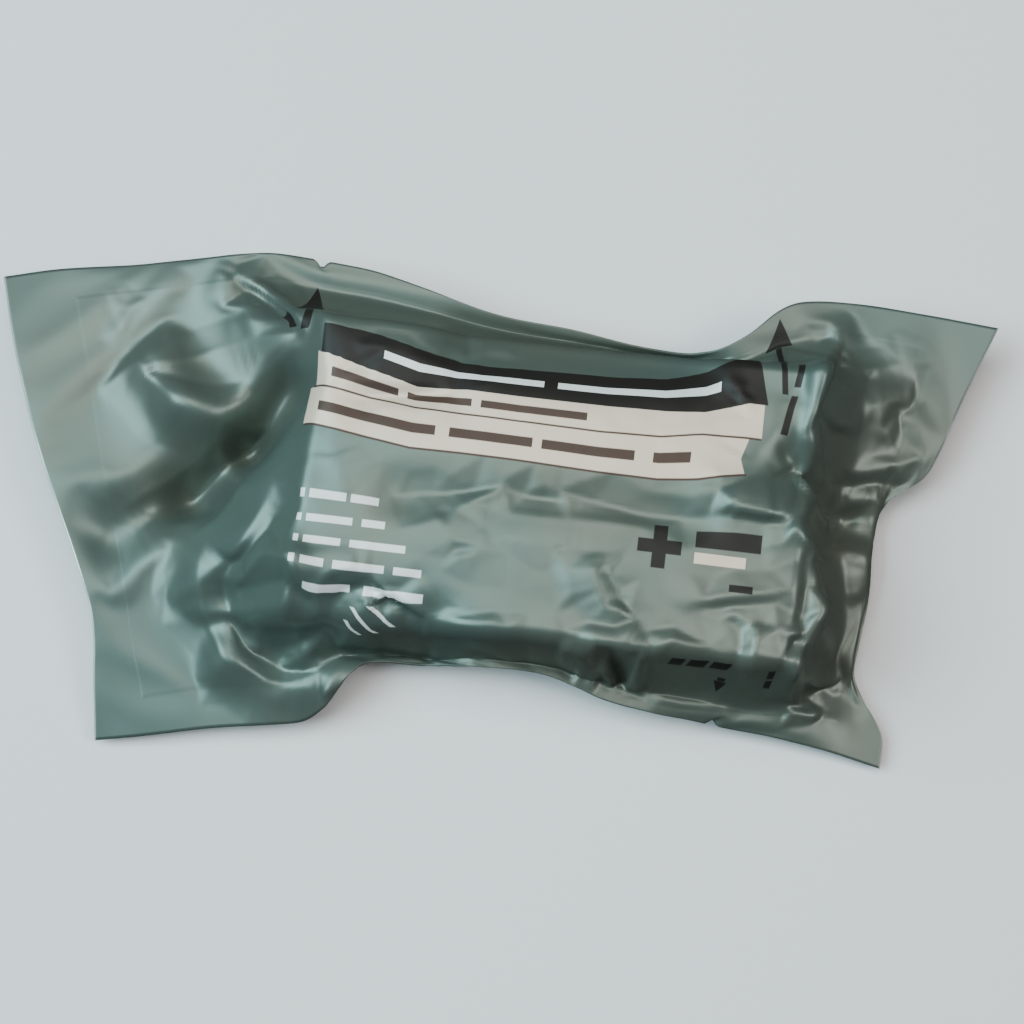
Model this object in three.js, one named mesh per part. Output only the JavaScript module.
// A vacuum-packed emergency trauma bandage, lying on its back.
// Two sheets of laminate film, sealed together round their border, are drawn tight round one
// folded bandage. The film stands up over the bandage as a mesa, and comes down to a loose,
// crumpled border that is wide at the two ends and narrow along the two sides.
// Units are millimetres. +X runs along the pouch, +Y across it to the far long edge, +Z up.
// The origin is on the surface that the pouch lies on, under the middle of its outline.
import * as THREE from 'three';

// Driving sizes
const POUCH_LENGTH = 212;       // from the left end's far corner to the right end's far corner
const POUCH_WIDTH = 108;        // across the flat pouch, sealed edge to sealed edge
const PACK_LENGTH = 101;        // the folded bandage is as long as its wrap is wide, 4 inches
const PACK_WIDTH = 60;
const PACK_HEIGHT = 31;
const PACK_CROWN = 1.6;         // how much the middle of the pack stands above its edges
const PACK_EDGE_RADIUS = 4;
const PACK_OFFSET = 11.7;       // the pack sits this far right of the middle of the outline
const PACK_TURN = -7;           // degrees, seen from above
const FILM_THICKNESS = 0.5;
const SEAM_GAP = 0.3;           // between the two films where they are sealed
const PACK_GAP = 0.5;           // between the film and the pack inside it
const SIDE_WALL = 0.58;         // share of the film beside the pack that stands up as its wall
const LEFT_SLOPE = 34;          // run of the film from the pack's left end down to the border
const RIGHT_SLOPE = 13;
const TEAR_NOTCH_DEPTH = 1.7;
const TEAR_NOTCH_WIDTH = 2.6;
const TEAR_NOTCH_INSET = 2.6;   // from the pack's end, inwards, to the middle of a notch

// Grid of each film: cells in each stretch along the pouch and across it
const CELLS_LEFT_END = 14;
const CELLS_OVER_PACK = 12;
const CELLS_RIGHT_END = 10;
const CELLS_ACROSS_PACK = 7;
const CELLS_ROUND_EDGE = 3;
const CELLS_IN_WALL = 3;
const CELLS_IN_BORDER = 3;

// Sections across the pouch, from its left end to its right end. `at` is the share of half the
// length along the flat film. X is a share of half the length, Y of half the width and Z of the
// pack's height: near is the edge at -Y, far is the edge at +Y, mid is halfway between them.
const SECTIONS = [
  { at: -1.00, nearX: -0.792, nearY: -0.890, nearZ: 0.08, midZ: 0.36, farX: -1.000, farY: 0.943, farZ: 0.22 },
  { at: -0.88, nearX: -0.698, nearY: -0.876, nearZ: 0.12, midZ: 0.38, farX: -0.880, farY: 0.965, farZ: 0.28 },
  { at: -0.70, nearX: -0.560, nearY: -0.848, nearZ: 0.16, midZ: 0.42, farX: -0.700, farY: 0.973, farZ: 0.34 },
  { at: -0.55, nearX: -0.445, nearY: -0.836, nearZ: 0.18, midZ: 0.44, farX: -0.550, farY: 0.987, farZ: 0.44 },
  { at: -0.46, nearX: -0.380, nearY: -0.822, nearZ: 0.16, midZ: 0.42, farX: -0.460, farY: 1.000, farZ: 0.46 },
  { at: -0.38, nearX: -0.337, nearY: -0.774, nearZ: 0.24, midZ: 0.42, farX: -0.380, farY: 0.982, farZ: 0.44 },
  { at: -0.34, nearX: -0.322, nearY: -0.744, nearZ: 0.30, midZ: 0.42, farX: -0.340, farY: 0.968, farZ: 0.44 },
  { at: -0.28, nearX: -0.286, nearY: -0.655, nearZ: 0.38, midZ: 0.42, farX: -0.280, farY: 0.945, farZ: 0.44 },
  { at: -0.24, nearX: -0.250, nearY: -0.605, nearZ: 0.40, midZ: 0.42, farX: -0.240, farY: 0.926, farZ: 0.44 },
  { at: -0.15, nearX: -0.155, nearY: -0.611, nearZ: 0.40, midZ: 0.42, farX: -0.150, farY: 0.863, farZ: 0.44 },
  { at: 0.00, nearX: -0.023, nearY: -0.628, nearZ: 0.38, midZ: 0.42, farX: 0.000, farY: 0.754, farZ: 0.45 },
  { at: 0.15, nearX: 0.093, nearY: -0.656, nearZ: 0.36, midZ: 0.42, farX: 0.150, farY: 0.693, farZ: 0.47 },
  { at: 0.30, nearX: 0.208, nearY: -0.750, nearZ: 0.32, midZ: 0.42, farX: 0.300, farY: 0.617, farZ: 0.50 },
  { at: 0.42, nearX: 0.300, nearY: -0.797, nearZ: 0.28, midZ: 0.42, farX: 0.419, farY: 0.596, farZ: 0.52 },
  { at: 0.50, nearX: 0.363, nearY: -0.817, nearZ: 0.24, midZ: 0.42, farX: 0.495, farY: 0.657, farZ: 0.54 },
  { at: 0.56, nearX: 0.408, nearY: -0.833, nearZ: 0.20, midZ: 0.42, farX: 0.556, farY: 0.752, farZ: 0.54 },
  { at: 0.61, nearX: 0.447, nearY: -0.848, nearZ: 0.17, midZ: 0.40, farX: 0.604, farY: 0.787, farZ: 0.54 },
  { at: 0.72, nearX: 0.532, nearY: -0.880, nearZ: 0.14, midZ: 0.34, farX: 0.715, farY: 0.785, farZ: 0.50 },
  { at: 0.86, nearX: 0.640, nearY: -0.933, nearZ: 0.12, midZ: 0.26, farX: 0.857, farY: 0.750, farZ: 0.44 },
  { at: 1.00, nearX: 0.749, nearY: -1.000, nearZ: 0.08, midZ: 0.20, farX: 1.000, farY: 0.710, farZ: 0.36 },
];

// How far the two end edges bend out of the straight line between their corners, as shares of
// half the length, at places across the film from -1, the near corner, to 1, the far corner.
const END_BENDS = [
  { at: -1.00, left: 0.000, right: 0.000 },
  { at: -0.85, left: 0.015, right: -0.013 },
  { at: -0.70, left: 0.030, right: -0.064 },
  { at: -0.58, left: 0.043, right: -0.098 },
  { at: -0.44, left: 0.049, right: -0.106 },
  { at: -0.24, left: 0.039, right: -0.112 },
  { at: 0.00, left: 0.024, right: -0.135 },
  { at: 0.14, left: 0.014, right: -0.136 },
  { at: 0.22, left: 0.010, right: -0.120 },
  { at: 0.30, left: 0.006, right: -0.070 },
  { at: 0.42, left: 0.003, right: -0.051 },
  { at: 0.68, left: -0.002, right: -0.031 },
  { at: 1.00, left: 0.000, right: 0.000 },
];
const LEFT_BEND_REACH = 0.45;   // share of half the length over which an end's bend dies out
const RIGHT_BEND_REACH = 0.34;

// Main folds of the film. Each runs straight from one point to the other, in shares of half the
// length and half the width. Lift, up or down, and spread, the half width, are shares of the
// pack's height.
const FOLDS = [
  { fromX: -0.774, fromY: 0.63, toX: -0.708, toY: 0.444, lift: 0.07, spread: 0.18 },
  { fromX: -0.708, fromY: 0.444, toX: -0.50, toY: 0.315, lift: 0.09, spread: 0.18 },
  { fromX: -0.538, fromY: 0.852, toX: -0.425, toY: 0.648, lift: 0.09, spread: 0.20 },
  { fromX: -0.66, fromY: 0.574, toX: -0.519, toY: 0.481, lift: 0.07, spread: 0.20 },
  { fromX: -0.613, fromY: 0.796, toX: -0.585, toY: 0.667, lift: -0.07, spread: 0.18 },
  { fromX: -0.425, fromY: 0.444, toX: -0.547, toY: 0.167, lift: -0.15, spread: 0.24 },
  { fromX: -0.547, fromY: 0.167, toX: -0.717, toY: -0.056, lift: -0.09, spread: 0.26 },
  { fromX: -0.566, fromY: -0.222, toX: -0.453, toY: 0.056, lift: 0.08, spread: 0.20 },
  { fromX: -0.575, fromY: -0.333, toX: -0.519, toY: -0.593, lift: 0.07, spread: 0.18 },
  { fromX: -0.519, fromY: -0.593, toX: -0.377, toY: -0.685, lift: 0.08, spread: 0.18 },
  { fromX: -0.509, fromY: -0.407, toX: -0.434, toY: -0.556, lift: -0.10, spread: 0.20 },
  { fromX: -0.472, fromY: -0.185, toX: -0.396, toY: -0.296, lift: 0.07, spread: 0.18 },
  { fromX: -0.358, fromY: -0.463, toX: -0.142, toY: -0.556, lift: -0.20, spread: 0.21 },
  { fromX: -0.047, fromY: 0.593, toX: 0.358, toY: 0.50, lift: -0.13, spread: 0.23 },
  { fromX: 0.67, fromY: 0.63, toX: 0.623, toY: 0.444, lift: 0.07, spread: 0.17 },
  { fromX: 0.623, fromY: 0.444, toX: 0.566, toY: 0.13, lift: 0.07, spread: 0.17 },
  { fromX: 0.566, fromY: 0.074, toX: 0.66, toY: -0.037, lift: -0.13, spread: 0.18 },
  { fromX: 0.66, fromY: -0.037, toX: 0.755, toY: -0.074, lift: -0.08, spread: 0.18 },
  { fromX: 0.717, fromY: 0.37, toX: 0.811, toY: 0.333, lift: 0.07, spread: 0.26 },
  { fromX: 0.67, fromY: -0.26, toX: 0.726, toY: -0.22, lift: 0.06, spread: 0.18 },
  { fromX: 0.566, fromY: -0.778, toX: 0.642, toY: -0.796, lift: 0.06, spread: 0.17 },
  { fromX: 0.604, fromY: -0.63, toX: 0.66, toY: -0.704, lift: -0.08, spread: 0.18 },
  { fromX: -0.189, fromY: -0.02, toX: 0.377, toY: -0.12, lift: -0.04, spread: 0.18 },
  { fromX: -0.264, fromY: 0.37, toX: -0.094, toY: 0.352, lift: -0.03, spread: 0.17 },
  { fromX: 0.189, fromY: -0.333, toX: 0.217, toY: -0.519, lift: 0.035, spread: 0.17 },
  { fromX: 0.415, fromY: -0.037, toX: 0.538, toY: -0.12, lift: 0.04, spread: 0.17 },
  { fromX: 0.377, fromY: -0.426, toX: 0.566, toY: -0.37, lift: 0.03, spread: 0.17 },
  { fromX: 0.481, fromY: -0.537, toX: 0.481, toY: -0.704, lift: 0.06, spread: 0.17 },
];

// Sizes worked out from the ones above
const HALF_LENGTH = POUCH_LENGTH / 2;
const HALF_WIDTH = POUCH_WIDTH / 2;
const TURN = THREE.MathUtils.degToRad(PACK_TURN);
const SIDE_CLEARANCE = PACK_GAP + FILM_THICKNESS;
const MESA_HALF_LENGTH = PACK_LENGTH / 2 + SIDE_CLEARANCE;   // the film's high, flat top
const MESA_HALF_WIDTH = PACK_WIDTH / 2 + SIDE_CLEARANCE;
const FLOOR_LEVEL = FILM_THICKNESS / 2;                      // the back film's middle surface
const PACK_BOTTOM = FILM_THICKNESS + PACK_GAP;
const PACK_TOP = PACK_BOTTOM + PACK_HEIGHT;
const MESA_LEVEL = PACK_TOP + PACK_GAP + FILM_THICKNESS / 2; // the front film's middle surface
const MID_ALONG = PACK_OFFSET / HALF_LENGTH;
const MESA_LEFT = MID_ALONG - MESA_HALF_LENGTH / HALF_LENGTH;
const MESA_RIGHT = MID_ALONG + MESA_HALF_LENGTH / HALF_LENGTH;
const MESA_ACROSS = MESA_HALF_WIDTH / HALF_WIDTH;
const MESA_EDGE_RADIUS = PACK_EDGE_RADIUS + SIDE_CLEARANCE;
const WALL_ACROSS = MESA_ACROSS + (1 - MESA_ACROSS) * SIDE_WALL;
const NOTCH_LEFT = MESA_LEFT + TEAR_NOTCH_INSET / HALF_LENGTH;
const NOTCH_RIGHT = MESA_RIGHT - TEAR_NOTCH_INSET / HALF_LENGTH;
const NOTCH_REACH = TEAR_NOTCH_WIDTH / 2 / HALF_LENGTH;

const clamp = THREE.MathUtils.clamp;
const mix = THREE.MathUtils.lerp;

// A smooth curve through one column of a table, at a place between its rows.
function follow(table, column, at) {
  const last = table.length - 1;
  let row = 0;
  while (row < last - 1 && table[row + 1].at <= at) row += 1;
  const slope = (i) => {
    const before = table[Math.max(i - 1, 0)];
    const after = table[Math.min(i + 1, last)];
    return (after[column] - before[column]) / (after.at - before.at);
  };
  const start = table[row];
  const end = table[row + 1];
  const span = end.at - start.at;
  const t = clamp((at - start.at) / span, 0, 1);
  return start[column] * (1 + 2 * t) * (1 - t) ** 2
    + slope(row) * span * t * (1 - t) ** 2
    + end[column] * t * t * (3 - 2 * t)
    - slope(row + 1) * span * t * t * (1 - t);
}

// The V of a tear notch, from 1 at its point to 0 at its mouth.
function notchAt(along) {
  const nearest = Math.min(Math.abs(along - NOTCH_LEFT), Math.abs(along - NOTCH_RIGHT));
  return Math.max(0, 1 - nearest / NOTCH_REACH);
}

// Height of all folds together at a point seen from above.
function foldsAt(x, y) {
  let height = 0;
  for (const fold of FOLDS) {
    const from = new THREE.Vector2(fold.fromX * HALF_LENGTH, fold.fromY * HALF_WIDTH);
    const run = new THREE.Vector2(fold.toX * HALF_LENGTH, fold.toY * HALF_WIDTH).sub(from);
    const offset = new THREE.Vector2(x, y).sub(from);
    const t = clamp(offset.dot(run) / run.lengthSq(), 0, 1);
    const distance = offset.sub(run.multiplyScalar(t)).length();
    const spread = fold.spread * PACK_HEIGHT;
    height += fold.lift * PACK_HEIGHT * Math.exp(-((distance / spread) ** 2));
  }
  return height;
}

// A point of the turned rectangle that the pack and the film over it follow.
function onPack(along, across) {
  const p = (along - MID_ALONG) * HALF_LENGTH;
  const q = across * HALF_WIDTH;
  return {
    x: PACK_OFFSET + p * Math.cos(TURN) - q * Math.sin(TURN),
    y: p * Math.sin(TURN) + q * Math.cos(TURN),
  };
}

// A point on the straight section from the near edge to the far edge, with the ends' bends.
function onSection(along, across) {
  const share = (across + 1) / 2;
  const leftPull = clamp(1 - (along + 1) / LEFT_BEND_REACH, 0, 1) ** 2;
  const rightPull = clamp(1 - (1 - along) / RIGHT_BEND_REACH, 0, 1) ** 2;
  const bend = leftPull * follow(END_BENDS, 'left', across) + rightPull * follow(END_BENDS, 'right', across);
  const nearX = follow(SECTIONS, 'nearX', along);
  const farX = follow(SECTIONS, 'farX', along);
  const nearY = follow(SECTIONS, 'nearY', along);
  const farY = follow(SECTIONS, 'farY', along);
  return {
    x: (mix(nearX, farX, share) + bend) * HALF_LENGTH,
    y: mix(nearY, farY, share) * HALF_WIDTH,
  };
}

// Where a place on the film lies, seen from above. Over the pack it follows the pack, and
// towards the edges it lets go of it.
function planAt(along, across) {
  const beyond = along < MESA_LEFT
    ? (along - MESA_LEFT) / (-1 - MESA_LEFT)
    : Math.max(0, (along - MESA_RIGHT) / (1 - MESA_RIGHT));
  const inner = clamp(across, -MESA_ACROSS, MESA_ACROSS);
  const outside = (Math.abs(across) - MESA_ACROSS) / (1 - MESA_ACROSS);
  const hold = (1 - beyond) ** 2 * (1 + 2 * beyond) * clamp(1 - outside, 0, 1);
  const section = onSection(along, across);
  const held = onPack(along, inner);
  const free = onSection(along, inner);
  return {
    x: section.x + hold * (held.x - free.x),
    y: section.y + hold * (held.y - free.y),
  };
}

// The surface in which the two films meet, before the pack parts them.
function seamAt(along, across) {
  const point = planAt(along, across);
  const near = follow(SECTIONS, 'nearZ', along) * (across * across - across) / 2;
  const mid = follow(SECTIONS, 'midZ', along) * (1 - across * across);
  const far = follow(SECTIONS, 'farZ', along) * (across * across + across) / 2;
  return new THREE.Vector3(point.x, point.y, (near + mid + far) * PACK_HEIGHT);
}

// How far the pack parts the films: 1 over the pack, falling to 0 at the border. The fall is
// steep beside the pack and runs out gently.
function partingAt(along, across) {
  const leftRun = LEFT_SLOPE / HALF_LENGTH;
  const rightRun = RIGHT_SLOPE / HALF_LENGTH;
  const end = along < MESA_LEFT
    ? clamp(1 - (MESA_LEFT - along) / leftRun, 0, 1)
    : clamp(1 - (along - MESA_RIGHT) / rightRun, 0, 1);
  const side = clamp((WALL_ACROSS - Math.abs(across)) / (WALL_ACROSS - MESA_ACROSS), 0, 1);
  return (end * end * (1 + end) / 2) * side * side * (3 - 2 * side);
}

function crownAt(along, across) {
  const p = (along - MID_ALONG) * HALF_LENGTH / MESA_HALF_LENGTH;
  const q = across / MESA_ACROSS;
  return PACK_CROWN * Math.max(0, 1 - p * p) * Math.max(0, 1 - q * q);
}

// How far a block's face has curved away, at a point this far in from its end and its side.
function roundingAt(fromEnd, fromSide, radius) {
  const outX = clamp(1 - fromEnd / radius, 0, 1);
  const outY = clamp(1 - fromSide / radius, 0, 1);
  return radius * (1 - Math.sqrt((1 - outX * outX) * (1 - outY * outY)));
}

function mesaRounding(along, across) {
  const fromEnd = MESA_HALF_LENGTH - Math.abs(along - MID_ALONG) * HALF_LENGTH;
  const fromSide = MESA_HALF_WIDTH - Math.abs(across) * HALF_WIDTH;
  return roundingAt(fromEnd, fromSide, MESA_EDGE_RADIUS);
}

// The middle surface of each film: the level round the pack, let down or up to the seam.
function frontHeight(along, across, seam) {
  const level = MESA_LEVEL + crownAt(along, across) - mesaRounding(along, across);
  return mix(seam.z, level, partingAt(along, across)) + foldsAt(seam.x, seam.y);
}

function backHeight(along, across, seam) {
  const level = FLOOR_LEVEL + mesaRounding(along, across);
  return mix(seam.z + foldsAt(seam.x, seam.y), level, partingAt(along, across));
}

// Values from one number to another in equal steps, without the last.
function steps(from, to, count) {
  return Array.from({ length: count }, (_, i) => mix(from, to, i / count));
}

// Distances in from an edge to the lines that make its rounding, from the edge inwards.
function roundLines(radius) {
  return steps(0, Math.PI / 2, CELLS_ROUND_EDGE).map((angle) => radius * (1 - Math.cos(angle)));
}

const ROUND_ALONG = roundLines(MESA_EDGE_RADIUS).map((distance) => distance / HALF_LENGTH);
const ALONG_LINES = [
  ...steps(-1, MESA_LEFT, CELLS_LEFT_END),
  MESA_LEFT,
  MESA_LEFT + ROUND_ALONG[1],
  ...[NOTCH_LEFT, NOTCH_RIGHT].flatMap((notch) => [notch - NOTCH_REACH, notch, notch + NOTCH_REACH]),
  ...steps(
    MESA_LEFT + MESA_EDGE_RADIUS / HALF_LENGTH,
    MESA_RIGHT - MESA_EDGE_RADIUS / HALF_LENGTH,
    CELLS_OVER_PACK,
  ),
  MESA_RIGHT - MESA_EDGE_RADIUS / HALF_LENGTH,
  MESA_RIGHT - ROUND_ALONG[1],
  ...steps(MESA_RIGHT, 1, CELLS_RIGHT_END),
  1,
].sort((a, b) => a - b);

const FLAT_ACROSS = MESA_ACROSS - MESA_EDGE_RADIUS / HALF_WIDTH;
const HALF_ACROSS_LINES = [
  FLAT_ACROSS,
  ...roundLines(MESA_EDGE_RADIUS).slice(1).reverse().map((distance) => MESA_ACROSS - distance / HALF_WIDTH),
  ...steps(MESA_ACROSS, WALL_ACROSS, CELLS_IN_WALL),
  ...steps(WALL_ACROSS, 1, CELLS_IN_BORDER),
  1,
];
const ACROSS_LINES = [
  ...HALF_ACROSS_LINES.map((value) => -value).reverse(),
  ...steps(-FLAT_ACROSS, FLAT_ACROSS, CELLS_ACROSS_PACK).slice(1),
  ...HALF_ACROSS_LINES,
];

// One closed solid between an upper and a lower net of points. A net is a list of rows along X,
// each a list of points along Y.
function solidBetween(upper, lower) {
  const rows = upper.length;
  const columns = upper[0].length;
  const points = [...upper.flat(), ...lower.flat()];
  const top = (i, j) => i * columns + j;
  const bottom = (i, j) => rows * columns + i * columns + j;
  const triangles = [];
  const quad = (a, b, c, d) => triangles.push(a, b, c, a, c, d);
  for (let i = 0; i + 1 < rows; i += 1) {
    for (let j = 0; j + 1 < columns; j += 1) {
      quad(top(i, j), top(i + 1, j), top(i + 1, j + 1), top(i, j + 1));
      quad(bottom(i, j), bottom(i, j + 1), bottom(i + 1, j + 1), bottom(i + 1, j));
    }
    quad(bottom(i, 0), bottom(i + 1, 0), top(i + 1, 0), top(i, 0));
    quad(top(i, columns - 1), top(i + 1, columns - 1), bottom(i + 1, columns - 1), bottom(i, columns - 1));
  }
  for (let j = 0; j + 1 < columns; j += 1) {
    quad(top(0, j), top(0, j + 1), bottom(0, j + 1), bottom(0, j));
    quad(bottom(rows - 1, j), bottom(rows - 1, j + 1), top(rows - 1, j + 1), top(rows - 1, j));
  }
  const geometry = new THREE.BufferGeometry();
  geometry.setAttribute('position', new THREE.Float32BufferAttribute(points.flatMap((p) => p.toArray()), 3));
  geometry.setIndex(triangles);
  geometry.computeVertexNormals();
  return geometry;
}

// A net of points over the whole film. Its outermost lines step in at the tear notches.
function filmNet(pointAt) {
  return ALONG_LINES.map((along) => ACROSS_LINES.map((line) => {
    const cut = Math.abs(line) === 1 ? notchAt(along) * TEAR_NOTCH_DEPTH / HALF_WIDTH : 0;
    return pointAt(along, line * (1 - cut));
  }));
}

// The net's own normals, from its neighbouring points.
function netNormals(net) {
  const at = (i, j) => net[clamp(i, 0, net.length - 1)][clamp(j, 0, net[0].length - 1)];
  return net.map((row, i) => row.map((_, j) => {
    const alongRun = at(i + 1, j).clone().sub(at(i - 1, j));
    const acrossRun = at(i, j + 1).clone().sub(at(i, j - 1));
    return alongRun.cross(acrossRun).normalize();
  }));
}

// The net moved along its normals.
function offsetNet(net, normals, distance) {
  return net.map((row, i) => row.map((point, j) => point.clone().addScaledVector(normals[i][j], distance)));
}

// A film of even thickness round a middle surface.
function filmSolid(middle) {
  const normals = netNormals(middle);
  return solidBetween(
    offsetNet(middle, normals, FILM_THICKNESS / 2),
    offsetNet(middle, normals, -FILM_THICKNESS / 2),
  );
}

// A film's middle surface: the seam surface, raised or lowered to the film's own height, and
// pushed half the seam gap to its own side where the films touch.
const seamNormals = netNormals(filmNet((along, across) => {
  const seam = seamAt(along, across);
  return seam.setZ(seam.z + foldsAt(seam.x, seam.y));
}));

function middleNet(heightAt, side) {
  const apart = side * (SEAM_GAP + FILM_THICKNESS) / 2;
  const touching = filmNet((along, across) => apart * (1 - partingAt(along, across)));
  return filmNet((along, across) => {
    const seam = seamAt(along, across);
    return seam.setZ(heightAt(along, across, seam));
  }).map((row, i) => row.map((point, j) => point.addScaledVector(seamNormals[i][j], touching[i][j])));
}

// The folded bandage: one plain padded block with rounded edges, whose top follows the dents of
// the film over it.
function packLines(size, cells) {
  const half = size / 2;
  const flat = half - PACK_EDGE_RADIUS;
  const round = roundLines(PACK_EDGE_RADIUS).map((distance) => half - distance);
  return [
    ...round.map((distance) => -distance),
    ...steps(-flat, flat, cells),
    flat,
    ...round.reverse(),
  ];
}

function packSolid() {
  const radius = PACK_EDGE_RADIUS;
  const net = (heightAt) => packLines(PACK_LENGTH, CELLS_OVER_PACK).map((p) => (
    packLines(PACK_WIDTH, CELLS_ACROSS_PACK).map((q) => {
      const fromEnd = PACK_LENGTH / 2 - Math.abs(p);
      const fromSide = PACK_WIDTH / 2 - Math.abs(q);
      const outX = Math.max(0, radius - fromEnd);
      const outY = Math.max(0, radius - fromSide);
      const inX = outX * (1 - Math.sqrt(1 - (outY / radius) ** 2 / 2)) * Math.sign(p);
      const inY = outY * (1 - Math.sqrt(1 - (outX / radius) ** 2 / 2)) * Math.sign(q);
      const along = MID_ALONG + (p - inX) / HALF_LENGTH;
      const across = (q - inY) / HALF_WIDTH;
      const point = onPack(along, across);
      const height = heightAt(along, across, point, roundingAt(fromEnd, fromSide, radius));
      return new THREE.Vector3(point.x, point.y, height);
    })
  ));
  const top = (along, across, point, rounding) => (
    PACK_TOP + crownAt(along, across) + Math.min(0, foldsAt(point.x, point.y)) - rounding
  );
  const bottom = (along, across, point, rounding) => PACK_BOTTOM + rounding;
  return solidBetween(net(top), net(bottom));
}

const film = { color: 0x71867e, roughness: 0.42, metalness: 0.1, side: THREE.DoubleSide };
const frontFilm = new THREE.Mesh(filmSolid(middleNet(frontHeight, 1)), new THREE.MeshStandardMaterial(film));
frontFilm.name = 'front_film';
const backFilm = new THREE.Mesh(filmSolid(middleNet(backHeight, -1)), new THREE.MeshStandardMaterial(film));
backFilm.name = 'back_film';
const bandagePack = new THREE.Mesh(
  packSolid(),
  new THREE.MeshStandardMaterial({ color: 0xc9bda2, roughness: 0.9, metalness: 0 }),
);
bandagePack.name = 'folded_bandage';

const pouch = new THREE.Group();
pouch.add(frontFilm, backFilm, bandagePack);

export default pouch;
